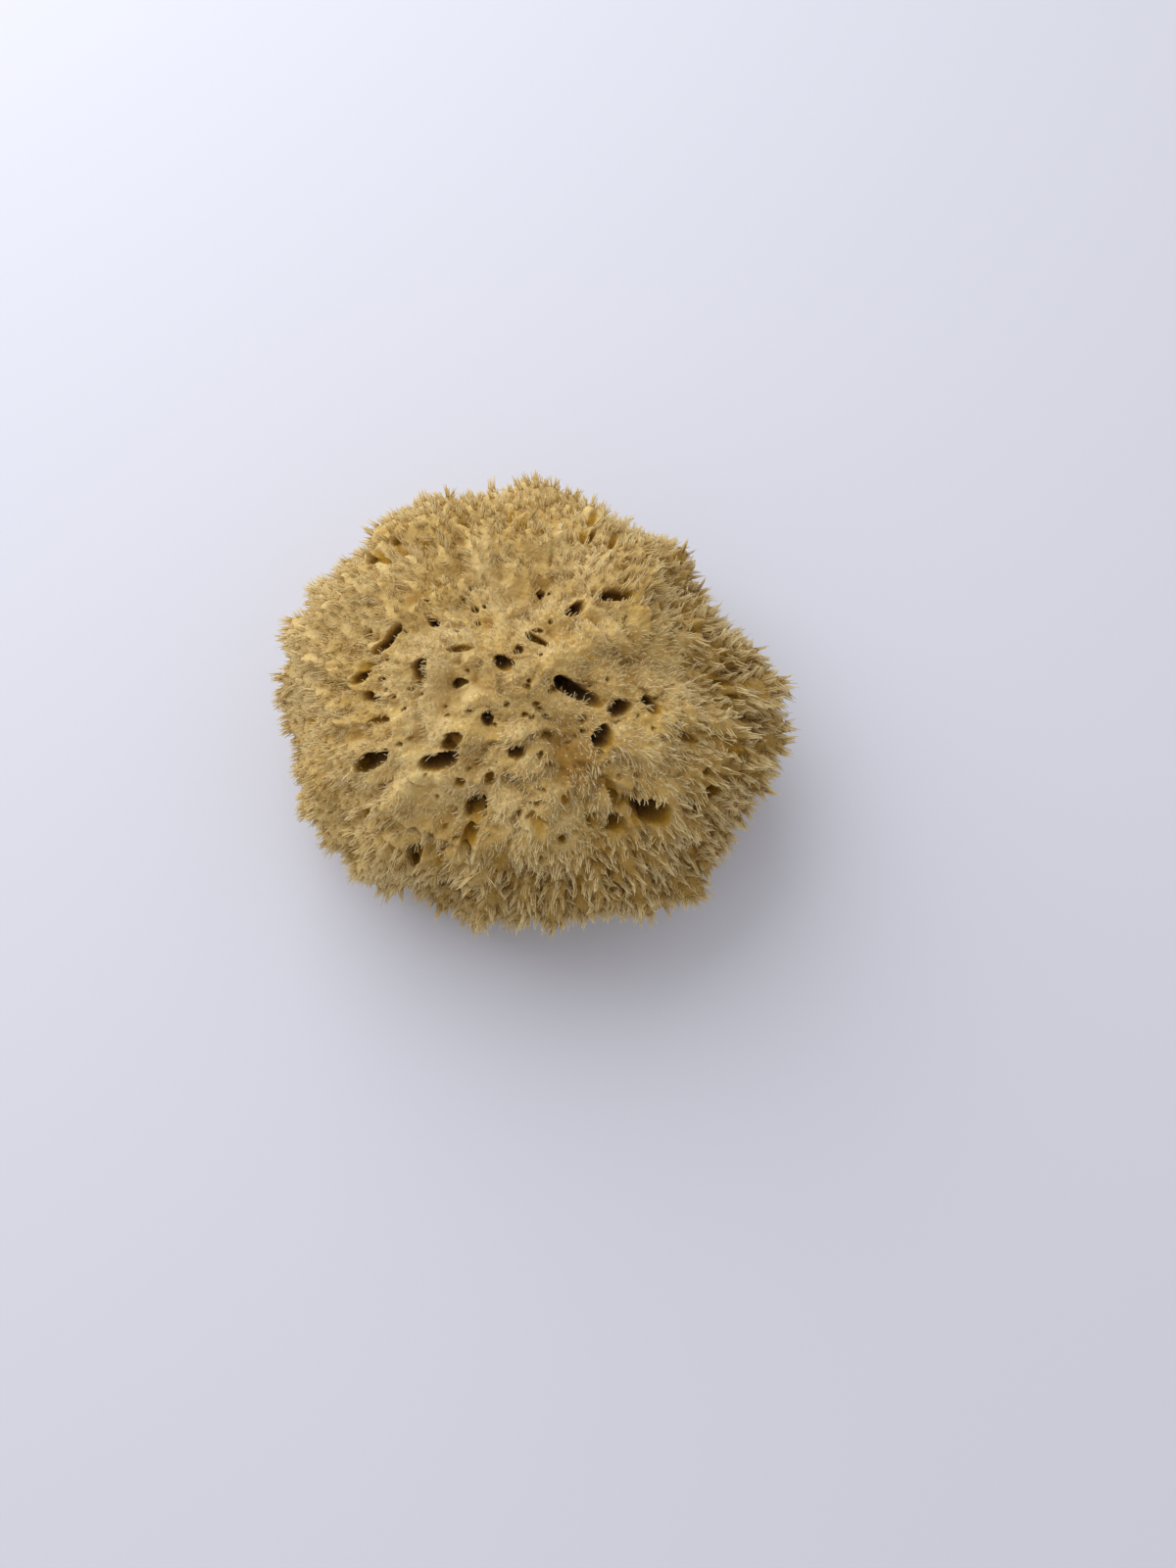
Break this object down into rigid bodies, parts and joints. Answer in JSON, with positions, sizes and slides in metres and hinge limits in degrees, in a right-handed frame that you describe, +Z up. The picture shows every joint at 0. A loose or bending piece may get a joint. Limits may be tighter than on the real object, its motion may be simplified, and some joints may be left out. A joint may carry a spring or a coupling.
{
  "type": "sea sponge",
  "caption": "Natural sea wool sponge: a soft, rounded bun covered in short tufts of fibre, pitted with dark water pores, resting on its flat cut base.",
  "frame": {"origin": "on the flat cut that the sponge rests on, under the middle of its widest level", "axes": "+Z up from the cut to the domed face; +X and +Y across the sponge, +X towards the lobe that the picture shows on the right"},
  "size_m": [0.143, 0.1275, 0.073],
  "materials": {
    "sponge": "dry, matt, golden-beige natural sponge fibre, paler at the tips and browner in the pores"
  },
  "bodies": {
    "root": {"sponge": "sponge"}
  },
  "joints": []
}
